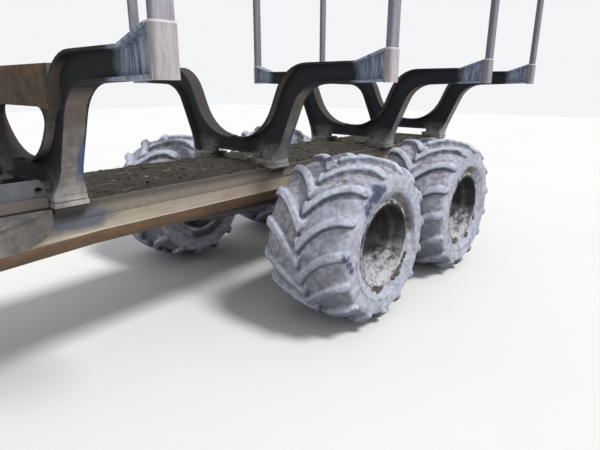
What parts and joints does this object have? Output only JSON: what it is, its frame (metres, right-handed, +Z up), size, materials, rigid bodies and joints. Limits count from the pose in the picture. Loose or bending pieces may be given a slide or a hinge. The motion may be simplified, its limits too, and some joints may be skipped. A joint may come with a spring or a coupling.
{
  "type": "rear load carriage of a forestry forwarder",
  "caption": "Box-beam rear carriage of a forestry forwarder: log bunks with stakes, gate, roll joint and pivoting bogies on wide lugged tyres.",
  "frame": {"origin": "middle of the steering pivot's vertical bore, between the yoke's two lugs", "axes": "+X is the direction of travel, +Y the machine's left side, +Z up along the steering pivot"},
  "size_m": [6.23, 2.79, 2.869],
  "materials": {
    "yoke_paint": "worn grey paint with dust",
    "bearing_steel": "greasy dark steel",
    "frame_grey": "grey paint, dusty and scratched",
    "beam_dusty": "paint under tan and orange forest dust",
    "gate_paint": "scratched dark paint",
    "bunk_dark": "near black paint, dusty on its outer faces",
    "stake_worn": "paint rubbed off by timber, weathered",
    "lamp_red": "red lens under dust",
    "axle_cast": "painted casting caked with dry mud",
    "rim_muddy": "rusty steel under dry mud",
    "tyre_muddy": "rubber under a skin of dried pale mud"
  },
  "bodies": {
    "yoke": {"pivot_yoke": "yoke_paint", "roll_race": "bearing_steel"},
    "carriage": {"roll_ring": "frame_grey", "head_plate": "frame_grey", "frame_beam": "beam_dusty", "side_doublers": "frame_grey", "deck_rails": "frame_grey", "crane_pedestal": "frame_grey", "gate_frame": "gate_paint", "gate_bars": "gate_paint", "bunk_1": "bunk_dark", "bunk_2": "bunk_dark", "bunk_3": "bunk_dark", "bunk_4": "bunk_dark", "stakes_left": "stake_worn", "stakes_right": "stake_worn", "rear_plate": "frame_grey", "rear_lamps": "lamp_red", "axle_housing": "axle_cast", "axle_saddles": "axle_cast", "drive_shaft": "bearing_steel", "shaft_bearing": "axle_cast"},
    "bogie_left": {"bogie_case_left": "axle_cast"},
    "bogie_right": {"bogie_case_right": "axle_cast"},
    "wheel_fl": {"hub_fl": "axle_cast", "rim_fl": "rim_muddy", "tyre_fl": "tyre_muddy"},
    "wheel_rl": {"hub_rl": "axle_cast", "rim_rl": "rim_muddy", "tyre_rl": "tyre_muddy"},
    "wheel_fr": {"hub_fr": "axle_cast", "rim_fr": "rim_muddy", "tyre_fr": "tyre_muddy"},
    "wheel_rr": {"hub_rr": "axle_cast", "rim_rr": "rim_muddy", "tyre_rr": "tyre_muddy"}
  },
  "joints": [
    {"name": "frame_roll", "type": "hinge", "parent": "yoke", "child": "carriage", "pos_m": [-0.265, 0, 0], "axis": [1, 0, 0], "range_deg": [-15, 15]},
    {"name": "bogie_tilt_left", "type": "hinge", "parent": "carriage", "child": "bogie_left", "pos_m": [-3.9, 0.565, -0.2], "axis": [0, 1, 0], "range_deg": [-18, 18]},
    {"name": "bogie_tilt_right", "type": "hinge", "parent": "carriage", "child": "bogie_right", "pos_m": [-3.9, -0.565, -0.2], "axis": [0, 1, 0], "range_deg": [-18, 18]},
    {"name": "wheel_spin_fl", "type": "hinge", "parent": "bogie_left", "child": "wheel_fl", "pos_m": [-3.225, 1.012, -0.225], "axis": [0, 1, 0], "continuous": true},
    {"name": "wheel_spin_rl", "type": "hinge", "parent": "bogie_left", "child": "wheel_rl", "pos_m": [-4.575, 1.012, -0.225], "axis": [0, 1, 0], "continuous": true},
    {"name": "wheel_spin_fr", "type": "hinge", "parent": "bogie_right", "child": "wheel_fr", "pos_m": [-3.225, -1.012, -0.225], "axis": [0, 1, 0], "continuous": true},
    {"name": "wheel_spin_rr", "type": "hinge", "parent": "bogie_right", "child": "wheel_rr", "pos_m": [-4.575, -1.012, -0.225], "axis": [0, 1, 0], "continuous": true}
  ]
}
